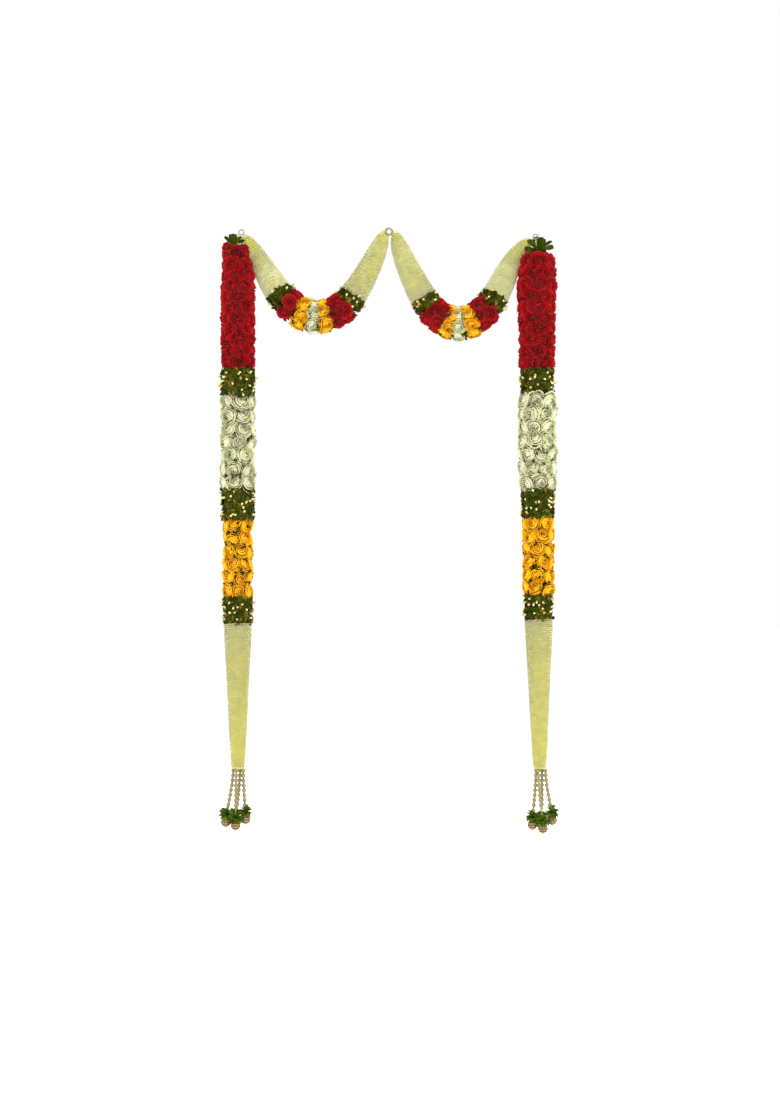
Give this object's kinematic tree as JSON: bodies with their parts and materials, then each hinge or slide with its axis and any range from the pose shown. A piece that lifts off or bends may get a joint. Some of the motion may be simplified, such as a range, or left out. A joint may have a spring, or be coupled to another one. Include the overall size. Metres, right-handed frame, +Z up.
{
  "type": "door garland",
  "caption": "Flower garland for a door frame: rose strings with pearl tassels down both sides, joined across the top by two swags of roses and tuberose.",
  "frame": {"origin": "where the nail bears inside the middle ring of pearls", "axes": "+Z up, +X along the lintel to the right seen from the front, +Y towards the wall behind the garland"},
  "size_m": [1.1131, 0.1499, 2.0053],
  "materials": {
    "red_roses": "matte fresh petals, deep red with paler edges",
    "white_roses": "matte fresh petals, greenish cream",
    "yellow_roses": "matte fresh petals, orange yellow with pale rims",
    "green_leaves": "half-gloss fresh leaves, with small cream buds between them in the collars",
    "tuberose_buds": "matte closed buds, yellow at the stem and pale at the tip",
    "garland_cord": "twisted cotton",
    "cream_pearls": "pearl lustre, cream",
    "silver_pearls": "pearl lustre, silver grey",
    "gilt_filigree": "copper gold, openwork bands"
  },
  "bodies": {
    "root": {"middle_hanging_ring": "cream_pearls", "left_hanging_ring": "silver_pearls", "left_string_cord": "garland_cord", "left_top_leaf_tuft": "green_leaves", "left_red_rose_band": "red_roses", "left_upper_leaf_collar": "green_leaves", "left_white_rose_band": "white_roses", "left_middle_leaf_collar": "green_leaves", "left_yellow_rose_band": "yellow_roses", "left_lower_leaf_collar": "green_leaves", "left_tuberose_taper": "tuberose_buds", "left_pearl_strand_1": "cream_pearls", "left_pearl_strand_2": "cream_pearls", "left_pearl_strand_3": "cream_pearls", "left_pearl_strand_4": "cream_pearls", "left_leaf_cap_cluster": "green_leaves", "left_filigree_ball_1": "gilt_filigree", "left_filigree_ball_2": "gilt_filigree", "left_filigree_ball_3": "gilt_filigree", "left_filigree_ball_4": "gilt_filigree", "left_swag_cord": "garland_cord", "left_swag_outer_tuberose_tube": "tuberose_buds", "left_swag_outer_leaf_collar": "green_leaves", "left_swag_outer_red_rose_band": "red_roses", "left_swag_outer_yellow_rose_band": "yellow_roses", "left_swag_inner_tuberose_tube": "tuberose_buds", "left_swag_inner_leaf_collar": "green_leaves", "left_swag_inner_red_rose_band": "red_roses", "left_swag_inner_yellow_rose_band": "yellow_roses", "left_swag_white_rose_band": "white_roses", "right_hanging_ring": "silver_pearls", "right_string_cord": "garland_cord", "right_top_leaf_tuft": "green_leaves", "right_red_rose_band": "red_roses", "right_upper_leaf_collar": "green_leaves", "right_white_rose_band": "white_roses", "right_middle_leaf_collar": "green_leaves", "right_yellow_rose_band": "yellow_roses", "right_lower_leaf_collar": "green_leaves", "right_tuberose_taper": "tuberose_buds", "right_pearl_strand_1": "cream_pearls", "right_pearl_strand_2": "cream_pearls", "right_pearl_strand_3": "cream_pearls", "right_pearl_strand_4": "cream_pearls", "right_leaf_cap_cluster": "green_leaves", "right_filigree_ball_1": "gilt_filigree", "right_filigree_ball_2": "gilt_filigree", "right_filigree_ball_3": "gilt_filigree", "right_filigree_ball_4": "gilt_filigree", "right_swag_cord": "garland_cord", "right_swag_outer_tuberose_tube": "tuberose_buds", "right_swag_outer_leaf_collar": "green_leaves", "right_swag_outer_red_rose_band": "red_roses", "right_swag_outer_yellow_rose_band": "yellow_roses", "right_swag_inner_tuberose_tube": "tuberose_buds", "right_swag_inner_leaf_collar": "green_leaves", "right_swag_inner_red_rose_band": "red_roses", "right_swag_inner_yellow_rose_band": "yellow_roses", "right_swag_white_rose_band": "white_roses"}
  },
  "joints": []
}
